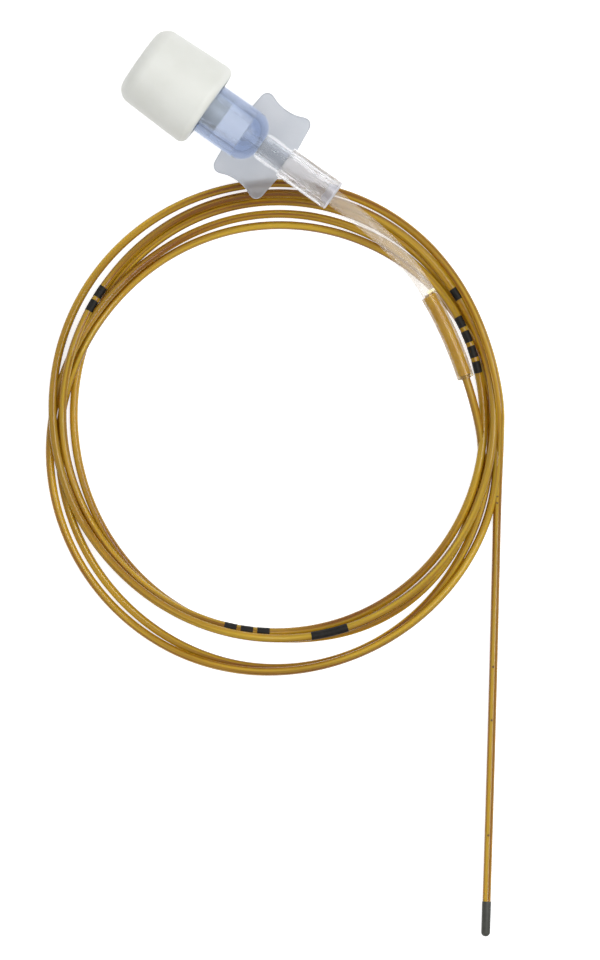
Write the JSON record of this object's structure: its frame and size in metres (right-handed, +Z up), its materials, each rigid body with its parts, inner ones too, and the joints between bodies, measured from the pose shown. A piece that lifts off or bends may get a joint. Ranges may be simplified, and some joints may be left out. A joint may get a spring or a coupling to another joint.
{
  "type": "infusion catheter",
  "caption": "Long fine amber catheter in a loose coil, with a winged Luer hub, screw cap, clear sleeve, short clear tube and black tip.",
  "frame": {"origin": "on the surface that the part lies on, under the middle of the capped hub with its sleeve", "axes": "+X along the hub from the cap to the tube, +Y along the wings, +Z up from the surface"},
  "size_m": [0.0947, 0.0676, 0.0108],
  "materials": {
    "cap_white": "satin moulded",
    "hub_blue": "clear, tinted pale blue",
    "sleeve_clear": "clear, faintly grey",
    "tube_clear": "clear",
    "catheter_amber": "amber, smooth",
    "tip_black": "smooth"
  },
  "bodies": {
    "catheter": {"winged_hub": "hub_blue", "strain_relief": "sleeve_clear", "extension_tube": "tube_clear", "catheter_lead": "catheter_amber", "catheter_coil": "catheter_amber", "catheter_tail": "catheter_amber", "catheter_tip": "tip_black"},
    "cap": {"luer_cap": "cap_white"}
  },
  "joints": [
    {"name": "cap_pull", "type": "slide", "parent": "catheter", "child": "cap", "axis": [-1, 0, 0], "range_m": [0, 0.012]}
  ]
}
